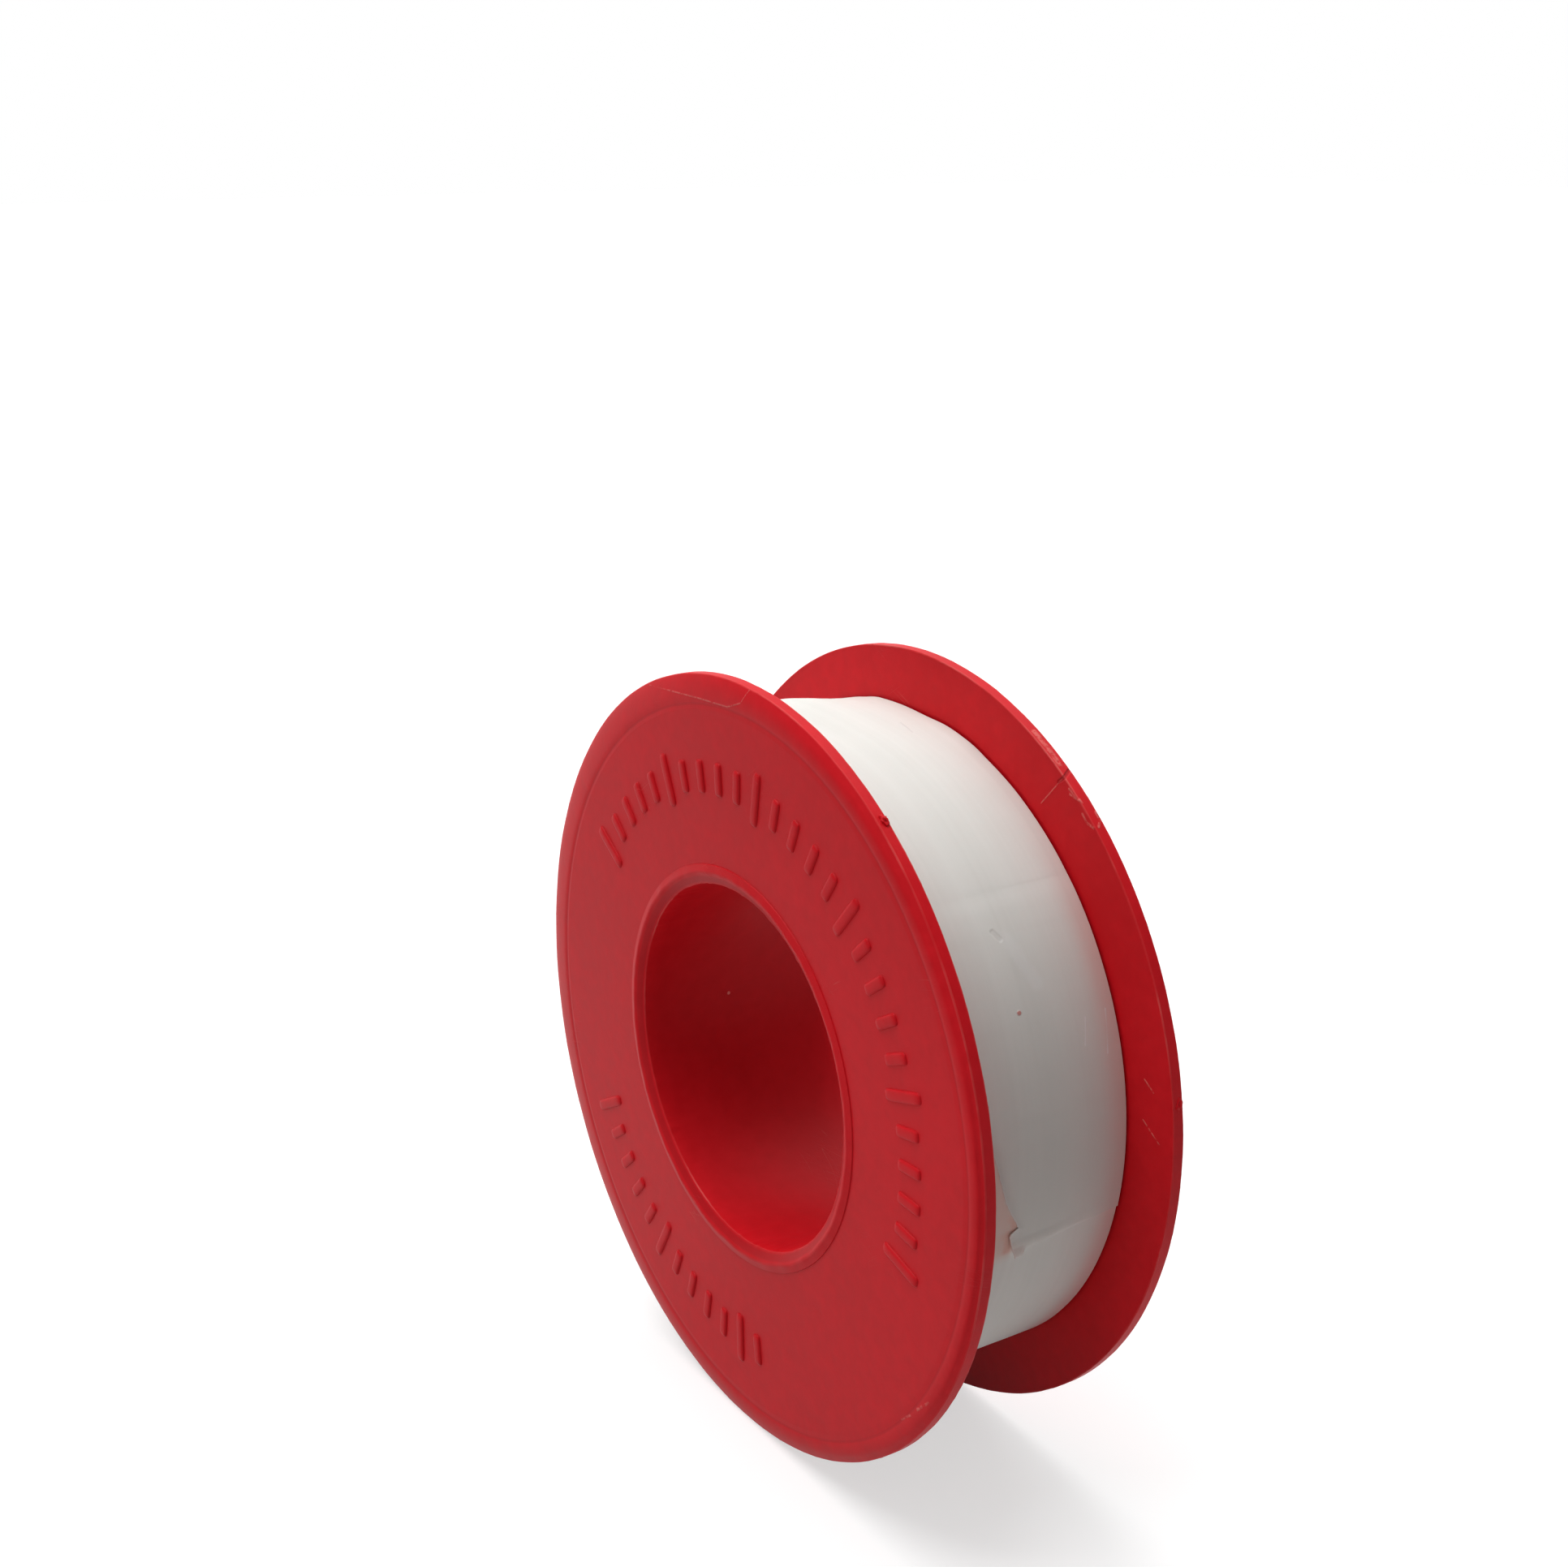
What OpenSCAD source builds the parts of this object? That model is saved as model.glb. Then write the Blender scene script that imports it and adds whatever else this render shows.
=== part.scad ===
// Thread seal tape roll: thin white film wound on a red spool of two mouldings.
// Millimetres, +Z up. The axle line runs along Y and the origin is the middle of the bore.
// The front of the roll faces -Y. It stands on the rims of its two flanges.

/* [Spool] */
// Diameter of the bore that a finger or a peg goes through
bore_d = 24; // [16:0.5:32]
// Wall of the hub under the tape
hub_wall = 1.3; // [1.1:0.05:2]
// Thickness of both flanges
flange_t = 1.1; // [0.8:0.05:1.8]
// Height that both flanges stand above the full roll of tape
rim_rise = 3.9; // [2:0.1:8]

/* [Flange rims] */
// Width of the band along which the outer face of a flange curves down to the rim
edge_w = 1.5; // [0.5:0.1:3]
// Depth that the outer face has fallen by at the rim
edge_h = 0.35; // [0.1:0.05:0.5]
// Rounding of the inner edge of a rim
rim_r = 0.2; // [0.05:0.05:0.25]

/* [Snap joint of hub and front flange] */
// Depth of the shoulder that the front flange is pushed up against
shoulder_h = 0.4; // [0.3:0.05:0.6]
// Radial gap between the spigot and the hole of the front flange
spigot_gap = 0.03; // [0.01:0.01:0.1]
// Overhang of the snap bead past the spigot
bead_hook = 0.45; // [0.2:0.05:0.6]
// Height of the snap bead above the face of the front flange
bead_h = 0.25; // [0.15:0.05:0.6]
// Lead-in chamfer of the hole in the front flange
lead_in = 0.25; // [0.1:0.05:0.4]
// Rounding of the mouth of the bore at the rear
mouth_r = 0.3; // [0.1:0.05:0.6]

/* [Tape] */
// Width of the film
tape_w = 12.7; // [9:0.1:25.4]
// Depth of the tape that is wound on the hub
tape_h = 8.3; // [4:0.1:12]
// Thickness of the film
film_t = 0.075; // [0.05:0.005:0.15]
// Room between the edge of the tape and each flange
side_gap = 0.15; // [0.05:0.05:0.5]
// Gap between wound layers where two nodes meet
wrap_gap = 0.02; // [0.01:0.01:0.05]

/* [Free end of the tape] */
// Angle round the axle, up from +X, where the free end leaves the roll
tail_from = 45; // [20:1:80]
// Angle round the axle that the free end covers
tail_arc = 58; // [40:0.5:80]
// Room between the free end and the turn that it lies on
lay_gap = 0.05; // [0.03:0.01:0.3]
// Gap between neighbouring stretches of the free end
link_gap = 0.04; // [0.02:0.01:0.1]

/* [Hidden] */
$fn = 180;

// Radii, from the axle outwards
bore_r = bore_d / 2;
hub_r = bore_r + hub_wall;
spigot_r = hub_r - shoulder_h;
bead_r = spigot_r + bead_hook;
tape_r = hub_r + tape_h;
flange_r = tape_r + rim_rise;

// Places along the axle, measured from the middle of the bore towards the front
flange_in = tape_w / 2 + side_gap;
flange_out = flange_in + flange_t;

// Overrun of every cut
over = 1;

// Stretches of the free end, and the angle that each covers
links = 4;
link_arc = tail_arc / links;
link_gap_arc = link_gap / tape_r * 180 / PI;
tail_in = tape_r - film_t + lay_gap;

// Outline of the front edge of the free end: how far along the free end each corner lies, and
// how far in from the edge of the film, both as shares. The film narrows where it was stretched
// and torn, its last bit stands out as a small ear, and the end is cut straight across.
tail_edge_shares = [
    [0.34, 0], [0.69, 0.22], [0.92, 0.38], [0.935, 0.34], [1, 0.35]
];

// Turns a shape whose axle stands along Z so that it lies along Y, its top facing the front.
// Angles round the axle stay as they are: 0 is +X and 90 is +Z.
module on_axle() {
    rotate([90, 0, 0]) children();
}

// What a rounded corner of radius r takes off a square corner at the origin, which points to +X -Y
module corner_waste(r) {
    difference() {
        translate([-r, -over]) square([r + over, r + over]);
        translate([-r, r]) circle(r);
        translate([-r - over, r]) square([r + over, over]);
    }
}

// What the curved band takes off the outer corner of a flange. The arc starts level with the face,
// a band's width in from the rim, and is edge_h lower at the rim.
module edge_waste() {
    arc_r = (edge_w * edge_w + edge_h * edge_h) / (2 * edge_h);
    translate([flange_r - edge_w, flange_t]) difference() {
        translate([0, -edge_h]) square([edge_w + over, edge_h + over]);
        translate([0, -arc_r]) circle(arc_r);
    }
}

// Half section of a flange from the radius inner_r, its inner face on the X axis
module flange_section(inner_r) {
    difference() {
        translate([inner_r, 0]) square([flange_r - inner_r, flange_t]);
        edge_waste();
        translate([flange_r, 0]) corner_waste(rim_r);
    }
}

// Half section of the snap bead: a round cap as wide as the hub end, on the X axis
module bead_section() {
    width = bead_r - bore_r;
    cap_r = (width * width / 4 + bead_h * bead_h) / (2 * bead_h);
    intersection() {
        translate([bore_r + width / 2, bead_h - cap_r]) circle(cap_r);
        translate([bore_r, 0]) square([width, bead_h + over]);
    }
}

// Rear moulding: the hub that the tape is wound on, the rear flange at one end of it, and at the
// other a spigot that goes through the front flange and ends in the snap bead round the bore
module spool_hub() {
    color([0.72, 0.06, 0.08]) on_axle() rotate_extrude() difference() {
        union() {
            translate([bore_r, -flange_out]) square([hub_wall, flange_out + flange_in]);
            translate([bore_r, 0]) square([spigot_r - bore_r, flange_out]);
            translate([0, flange_out]) bead_section();
            translate([0, -flange_in]) mirror([0, 1]) flange_section(bore_r);
        }
        translate([bore_r, -flange_out]) mirror([1, 0]) corner_waste(mouth_r);
    }
}

// Front moulding: a plain flange, pushed over the snap bead on to the shoulder of the hub
module front_flange() {
    hole_r = spigot_r + spigot_gap;
    color([0.72, 0.06, 0.08]) on_axle() rotate_extrude() difference() {
        translate([0, flange_in]) flange_section(hole_r);
        translate([hole_r, flange_in]) rotate(45) square(lead_in * sqrt(2), center = true);
    }
}

// Every turn of the tape but the last, wound tight on the hub
module tape_roll() {
    inner_r = hub_r + wrap_gap;
    color([0.93, 0.93, 0.91]) on_axle() rotate_extrude()
        translate([inner_r, -tape_w / 2])
            square([tape_r - 2 * film_t - wrap_gap - inner_r, tape_w]);
}

// A stretch of film with the outer radius r, from +X round to the angle arc
module film_arc(r, arc) {
    rotate_extrude(angle = arc) translate([r - film_t, -tape_w / 2]) square([film_t, tape_w]);
}

// Last turn of the tape. It is a spiral that sinks by one thickness of film in a turn, so that it
// runs in under its own start, where the free end leaves it. Two half turns make the spiral,
// their centres half a thickness apart, and it ends just short of its start.
module outer_turn() {
    color([0.95, 0.95, 0.93]) on_axle() rotate([0, 0, tail_from]) {
        translate([film_t / 4, 0, 0]) film_arc(tape_r - film_t / 4, 180);
        translate([-film_t / 4, 0, 0]) rotate([0, 0, 180])
            film_arc(tape_r - film_t * 3 / 4, 180 - link_gap_arc);
    }
}

// A corner of the front edge of the free end, seen along X: height, then place along the axle
function tail_corner(share) =
    [tail_in * sin(tail_from - tail_arc * share[0]), tape_w * (0.5 - share[1])];

// Outline of the free end, seen along X
module tail_outline() {
    polygon(concat(
        [[flange_r, tape_w / 2]],
        [for (share = tail_edge_shares) tail_corner(share)],
        [[-flange_r, tape_w * (0.5 - tail_edge_shares[len(tail_edge_shares) - 1][1])],
         [-flange_r, -tape_w / 2],
         [flange_r, -tape_w / 2]]
    ));
}

// One stretch of the free end, counted from 0 where it leaves the roll. It is an arc of film that
// hinges on the stretch before it, along the line where their outer faces meet.
module tail_link(i) {
    color([0.97, 0.97, 0.95]) on_axle() intersection() {
        rotate([0, 0, tail_from - (i + 1) * link_arc])
            film_arc(tape_r + lay_gap, link_arc - link_gap_arc);
        translate([bore_r, 0, 0]) rotate([0, 90, 0]) rotate([0, 0, 90])
            linear_extrude(flange_r) tail_outline();
    }
}

module tail_root() { tail_link(0); }
module tail_upper() { tail_link(1); }
module tail_lower() { tail_link(2); }
module tail_tip() { tail_link(3); }

spool_hub();
front_flange();
tape_roll();
outer_turn();
tail_root();
tail_upper();
tail_lower();
tail_tip();
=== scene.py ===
# %% [markdown]
# # A roll of thread seal tape
# Thin white film, half an inch wide, is wound on a red plastic spool, and its free end lies on the
# roll. The imported model gives the solids and says what moves. This lesson dresses them: the
# mouldings get their roundings and raised marks, the film its spiral, its edges and its torn end,
# and each surface a finish made of nodes. The model is loaded first, because the pieces take their
# sizes from its boxes and most of them ride on one of its bodies.

# %% Load the imported model
import math

import bmesh
import bpy
import numpy as np
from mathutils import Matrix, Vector, noise


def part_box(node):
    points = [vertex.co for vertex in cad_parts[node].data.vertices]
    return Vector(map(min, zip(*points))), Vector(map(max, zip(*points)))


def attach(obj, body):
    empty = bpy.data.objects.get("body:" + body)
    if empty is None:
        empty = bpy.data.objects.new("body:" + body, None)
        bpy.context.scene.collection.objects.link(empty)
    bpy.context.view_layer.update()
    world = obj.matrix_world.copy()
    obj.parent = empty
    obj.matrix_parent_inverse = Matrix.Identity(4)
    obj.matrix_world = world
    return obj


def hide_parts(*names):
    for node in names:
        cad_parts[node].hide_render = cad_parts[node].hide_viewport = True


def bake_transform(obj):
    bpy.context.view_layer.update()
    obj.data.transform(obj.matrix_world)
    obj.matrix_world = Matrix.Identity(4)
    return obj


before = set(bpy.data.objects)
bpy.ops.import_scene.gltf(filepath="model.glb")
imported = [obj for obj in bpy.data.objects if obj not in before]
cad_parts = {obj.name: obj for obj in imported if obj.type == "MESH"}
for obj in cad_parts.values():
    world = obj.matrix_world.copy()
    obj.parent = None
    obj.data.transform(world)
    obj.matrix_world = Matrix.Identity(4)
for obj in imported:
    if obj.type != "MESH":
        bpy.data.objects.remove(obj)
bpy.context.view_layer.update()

print("nodes", sorted(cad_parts))

# %% [markdown]
# ## Sizes
# Blender works in metres here, and a roll this small is easier to think of in millimetres. So each
# size is written in millimetres and multiplied by MM where a mesh is made. What the solids already
# know is read from their boxes, so the looks can't drift away from them.

# %% Sizes of the spool and of the film
MM = 0.001
hub_low, hub_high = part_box("spool_hub")
front_low, front_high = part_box("front_flange")
core_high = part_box("tape_roll")[1]

RIM = hub_high.x / MM            # radius of both flanges
REAR = hub_high.y / MM           # outer face of the rear flange
BEAD = -hub_low.y / MM           # crown of the snap bead, in front of the front flange
FRONT = -front_low.y / MM        # outer face of the front flange
INNER = -front_high.y / MM       # inner faces of both flanges
BORE = 12.0                      # radius of the bore
HUB = 13.3                       # radius of the hub under the film
SPIGOT = 12.9                    # radius of the hub's end in the front flange
BEAD_FOOT = 13.35                # outer foot of the snap bead
LIP_FALL = 0.22                  # how far the bead falls below the flange's face, down to the bore
EDGE_W = 1.5                     # width of the band that curves down to a rim
EDGE_FALL = 0.35                 # how far that band has fallen at the rim
GROOVE = RIM - EDGE_W - 0.25     # radius of the faint groove beside that band, on the front flange
ROUNDS = 560                     # faces round a moulding
TAPE = core_high.y * 2 / MM      # width of the film
ROLL = 21.6                      # radius of the full roll
FILM = 0.075                     # thickness of the film
TAIL_FROM = 45.0                 # where the free end leaves the roll, in degrees up from +X
TAIL_ARC = 58.0                  # how far round the roll the free end reaches
LINKS = 4                        # stretches of the free end that hinge on each other
ROOM = 0.01                      # how far the drawn film stays inside the width of its solid


def around(radius, degrees, along):
    """A point at a radius from the axle, an angle up from +X and a place along the axle."""
    turn = math.radians(degrees)
    return (radius * math.cos(turn), along, radius * math.sin(turn))


print(f"flanges {2 * RIM:.1f} mm, {FRONT + REAR:.1f} mm from face to face, film {TAPE:.1f} mm")


# %% [markdown]
# ## Node trees written as sums
# Shaders and Geometry Nodes are graphs, and a graph is hard to read as code. Two small classes help.
# A Board adds any node in one call: its type, its settings and what goes into its sockets. A Value is
# a number on a wire, and Python sums on it add Math nodes, so a mask can be written as a formula.

# %% A number on a wire
class Value:
    """A number on a wire of a board. Sums on it add Math nodes."""

    def __init__(self, board, socket):
        self.board = board
        self.socket = socket

    def worked(self, operation, *others):
        """The result of a Math node that starts with this number."""
        return self.board.value("ShaderNodeMath", {"operation": operation}, [self, *others])

    def __add__(self, other):
        return self.worked("ADD", other)

    def __sub__(self, other):
        return self.worked("SUBTRACT", other)

    def __mul__(self, other):
        return self.worked("MULTIPLY", other)

    def __truediv__(self, other):
        return self.worked("DIVIDE", other)

    def __rsub__(self, other):
        return self.worked("MULTIPLY_ADD", -1.0, other)

    def __neg__(self):
        return self.worked("MULTIPLY", -1.0)

    def __gt__(self, other):
        return self.worked("GREATER_THAN", other)

    def __abs__(self):
        return self.worked("ABSOLUTE")

    __radd__ = __add__
    __rmul__ = __mul__

    def most(self, other):
        """The larger of two numbers."""
        return self.worked("MAXIMUM", other)

    def step(self, low, high):
        """0 below low, 1 above high, with a smooth ramp between them."""
        settings = {"interpolation_type": "SMOOTHSTEP"}
        return self.board.value("ShaderNodeMapRange", settings, [self, low, high, 0.0, 1.0])


# %% A board to lay nodes out on
class Board:
    """A node tree, shader or geometry, with one way to add any node."""

    def __init__(self, tree):
        self.tree = tree

    def add(self, kind, settings=None, inputs=None):
        """A new node. settings are its own, and inputs are numbers or wires for its sockets."""
        node = self.tree.nodes.new(kind)
        for name, value in (settings or {}).items():
            setattr(node, name, value)
        pairs = inputs.items() if isinstance(inputs, dict) else enumerate(inputs or [])
        for key, value in pairs:
            value = getattr(value, "socket", value)
            if isinstance(value, bpy.types.NodeSocket):
                self.tree.links.new(value, node.inputs[key])
            else:
                node.inputs[key].default_value = value
        return node

    def value(self, kind, settings=None, inputs=None, output=0):
        """The same as a number to do sums with."""
        return Value(self, self.add(kind, settings, inputs).outputs[output])

    def mark(self, name):
        """A value that the mesh carries on its points."""
        return self.value("ShaderNodeAttribute", {"attribute_name": name}, output=2)

    def parts(self, place):
        """The three numbers of a place or a vector."""
        split = self.add("ShaderNodeSeparateXYZ", None, [place])
        return [Value(self, socket) for socket in split.outputs]

    def joined(self, x, y, z):
        """A vector from three numbers."""
        return self.add("ShaderNodeCombineXYZ", None, [x, y, z]).outputs[0]

    def stretched(self, place, per_axis, turned=(0, 0, 0)):
        """place turned about the origin, then each axis multiplied by its own number."""
        settings = {"Vector": place, "Rotation": turned, "Scale": [1 / s for s in per_axis]}
        return self.add("ShaderNodeMapping", {"vector_type": "TEXTURE"}, settings).outputs[0]

    def cloud(self, place, scale, detail=2.0, roughness=0.5):
        """Soft noise from 0 to 1. scale is in lumps per metre."""
        sizes = {"Vector": place, "Scale": scale, "Detail": detail, "Roughness": roughness}
        return self.value("ShaderNodeTexNoise", None, sizes)

    def spot(self, place, middle, radius, ragged=0.0):
        """1 at a point given in millimetres, falling to 0 at the radius."""
        metres = [MM * c for c in middle]
        away = self.value("ShaderNodeVectorMath", {"operation": "DISTANCE"}, [place, metres], 1) / MM
        if ragged:
            away = away + (self.cloud(place, 5000, 2.0) - 0.5) * ragged
        return 1 - away.step(radius * 0.4, radius)

    def line(self, place, first, last, width):
        """1 on the straight line between two points, falling to 0 at half the width from it."""
        start, way = Vector(first) * MM, (Vector(last) - Vector(first)) * MM
        offset = self.add("ShaderNodeVectorMath", {"operation": "SUBTRACT"}, [place, start]).outputs[0]
        ahead = [offset, way / way.length_squared]
        share = self.value("ShaderNodeVectorMath", {"operation": "DOT_PRODUCT"}, ahead, 1)
        share = share.most(0.0).worked("MINIMUM", 1.0)
        foot = self.add("ShaderNodeVectorMath", {"operation": "SCALE"}, {0: way, "Scale": share}).outputs[0]
        away = self.value("ShaderNodeVectorMath", {"operation": "DISTANCE"}, [offset, foot], 1) / MM
        return 1 - away.step(width * 0.15, width * 0.5)

    def strokes(self, place, lines):
        """Several scratches as one mask. lines holds (points, width), and points run along each."""
        mask = None
        for points, width in lines:
            for first, last in zip(points, points[1:]):
                here = self.line(place, first, last, width)
                mask = here if mask is None else mask.most(here)
        return mask

    def blend(self, share, first, second):
        """A colour between two colours, each a colour or a wire."""
        settings = {"data_type": "RGBA"}
        return self.add("ShaderNodeMix", settings, {0: share, 6: first, 7: second}).outputs[2]


# %% [markdown]
# ## Finishes
# Both finishes use the Principled shader. Numbers that are the same all over a surface sit on its own
# sockets. Only colour, roughness and the normal get wires. Patterns read Object coordinates in
# metres, so they stay on the piece when it moves and look the same from every side.

# %% Start and end a finish
def new_finish(name, **constants):
    """A material with a Principled shader, and the board and the place to work from."""
    material = bpy.data.materials.new(name)
    material.use_nodes = True
    board = Board(material.node_tree)
    shader = material.node_tree.nodes["Principled BSDF"]
    for socket, value in constants.items():
        shader.inputs[socket.replace("_", " ")].default_value = value
    place = board.add("ShaderNodeTexCoord").outputs["Object"]
    return material, board, shader, place


def finish_surface(board, shader, colour, roughness, height, depth):
    """Wires colour, roughness and a bump of the given depth in millimetres to the shader."""
    sizes = {"Strength": 1.0, "Distance": depth * MM, "Height": height}
    normal = board.add("ShaderNodeBump", None, sizes).outputs[0]
    for socket, wire in (("Base Color", colour), ("Roughness", roughness), ("Normal", normal)):
        board.tree.links.new(getattr(wire, "socket", wire), shader.inputs[socket])


# %% [markdown]
# The spool is cheap moulded plastic with a satin skin. Its red is not quite even: the pigment drifts
# while the melt flows. Handling leaves hairline scratches that look paler and a few specks of dust.
# The crisp edges carry pale lines, partly from handling and partly painted highlight where an edge
# catches the light, and grooves, the bore and other places in shade carry painted shade. A flat red
# would look like paint, so each of these is a mask of its own. Marks that lie at one place are
# strokes: short lines between points on the surface.

# %% Red moulded plastic
def hairlines(board, place):
    """Hairline scratches in three directions, only here and there."""
    lines = []
    for turned, shift in (((0.5, 0.2, 0.5), 0.0), ((2.1, 0.2, 2.1), 3.7), ((1.2, 0.2, 1.2), 7.1)):
        thin = board.cloud(board.stretched(place, (30, 2600, 60), turned), 1.0, 1.0)
        few = board.cloud(place, 160 + shift, 1.0).step(0.66, 0.73)
        lines.append((1 - abs(thin - 0.5).step(0.0, 0.004)) * few)
    return lines[0] + lines[1] + lines[2]


def red_plastic(name, scuffs_and_highlights=(), nicks=()):
    """Satin red plastic. Its two lists hold strokes as (points, width): the first pale ones, some scuffed
    and some a painted highlight, the second dark nicks, their dark a painted shade.
    """
    material, board, shader, place = new_finish(name, IOR=1.49, Specular_IOR_Level=0.1)
    drift = board.cloud(place, 70, 3.0)
    mottle = board.cloud(place, 900, 3.0, 0.6)
    grain = board.cloud(place, 9000, 2.0)
    hair = hairlines(board, place)

    cells = board.add("ShaderNodeTexVoronoi", None, {"Vector": place, "Scale": 420.0})
    chance = board.value("ShaderNodeSeparateColor", None, [cells.outputs["Color"]])
    dust = (1 - Value(board, cells.outputs["Distance"]).step(0.03, 0.07)) * (chance > 0.93)
    corner = board.mark("corner")
    # Pale lines on tight edges, partly from handling and partly painted highlight where an edge catches the
    # light. A corner value below 0 is painted shade: grooves, the bead's foot and slope, the bore and the
    # feet of the raised marks.
    wear_and_highlight = corner.most(0.0) * (0.2 + 0.8 * board.cloud(place, 170, 4.0).step(0.46, 0.66))
    painted_shade = (-corner).most(0.0)

    deep = (0.59, 0.006, 0.012, 1)
    light = (0.70, 0.010, 0.018, 1)
    colour = board.blend((drift * 0.6 + mottle * 0.4).step(0.3, 0.7), deep, light)
    # The pale edge lines, partly painted highlight, then the painted shade.
    colour = board.blend(wear_and_highlight * 0.42, colour, (0.86, 0.24, 0.22, 1))
    colour = board.blend(painted_shade * 0.5, colour, (0.33, 0.003, 0.007, 1))
    colour = board.blend(hair * 0.2, colour, (0.85, 0.26, 0.24, 1))
    colour = board.blend(dust * 0.5, colour, (0.90, 0.45, 0.40, 1))
    roughness = 0.36 + drift * 0.08 + mottle * 0.08 + hair * 0.15
    height = mottle * 0.7 + grain * 0.15 - hair * 0.3
    if scuffs_and_highlights:
        # Pale strokes: scuffs, and a painted highlight along the rear rim.
        scuffed_or_lit = board.strokes(place, scuffs_and_highlights) * board.cloud(place, 3200, 3.0, 0.7).step(0.34, 0.6)
        colour = board.blend(scuffed_or_lit * 0.55, colour, (0.86, 0.24, 0.21, 1))
        roughness = roughness + scuffed_or_lit * 0.15
        height = height + scuffed_or_lit * 1.5
    if nicks:
        # The nick's dark colour is painted shade in the cut.
        cut = board.strokes(place, nicks)
        colour = board.blend(cut * 0.6, colour, (0.36, 0.004, 0.008, 1))
        height = height - cut * 3.0
    finish_surface(board, shader, colour, roughness, height, 0.02)
    return material


# Scuffs, nicks and one painted highlight at one place each, as points in millimetres and a width
REAR_SCUFFS_AND_HIGHLIGHT = [
    ([around(25.15, 49.6, INNER), around(25.1, 48.3, INNER), around(25.4, 47.0, INNER)], 0.26),
    ([around(RIM, 46.9, 6.8), around(RIM, 47.9, 7.15), around(RIM, 49.1, 7.15)], 0.24),
    ([around(25.1, 53.0, INNER), around(25.5, 51.3, INNER)], 0.24),
    ([around(25.3, 53.6, INNER), around(RIM, 50.9, 6.6)], 0.22),
    # Not a scuff: a painted highlight along the rim.
    ([around(RIM, 64.0, 6.86), around(RIM, 60.5, 6.84), around(RIM, 57.4, 6.81)], 0.5),
    ([around(25.2, 55.4, INNER), around(22.6, 56.3, INNER)], 0.12),
    ([around(23.2, 11.6, INNER), around(23.9, 9.9, INNER)], 0.16),
    ([around(22.9, 5.2, INNER), around(24.3, 2.5, INNER)], 0.16),
]
REAR_NICKS = [([around(24.9, 55.6, INNER), around(25.5, 55.2, INNER), around(RIM, 56.2, 7.2)], 0.34)]
SPOOL = red_plastic("spool_red", REAR_SCUFFS_AND_HIGHLIGHT, REAR_NICKS)
FLANGE = red_plastic("flange_red", [
    ([around(24.8, -31.3, -7.55), around(24.5, -34.6, -7.57)], 0.26),
    ([around(24.4, -37.0, -7.58), around(24.2, -39.6, -FRONT)], 0.2),
    ([around(25.3, 114.7, -7.3), around(24.4, 106.6, -7.55), around(24.0, 99.5, -FRONT),
      around(23.9, 91.2, -FRONT), around(24.5, 87.6, -7.55), around(25.4, 86.5, -7.3)], 0.14),
])
print("finishes", SPOOL.name, FLANGE.name)

# %% [markdown]
# The film is unsintered: white, silky and a little see-through. It was stretched as it was made, and
# faint streaks run along it. A noise whose axis across the film is multiplied a hundredfold gives
# such streaks, with no seam round the roll. Light goes a short way into it, which the subsurface
# share gives. Where it lies in shade beside the far flange, the red light off the flange is painted
# on as a pink edge. A crumb of red plastic, a smudge, a small dent and a few scratches lie at places
# of their own. The dent's darker tone is painted shade, and one pale streak is a painted sheen.

# %% White film
# Two scratches near the far edge, as points in millimetres and a width
FILM_SCRATCHES = [
    ([around(ROLL, 22.2, 4.13), around(ROLL, 18.0, 3.75)], 0.17),
    ([around(ROLL, 22.6, 5.7), around(ROLL, 15.8, 5.3)], 0.17),
]


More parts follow.
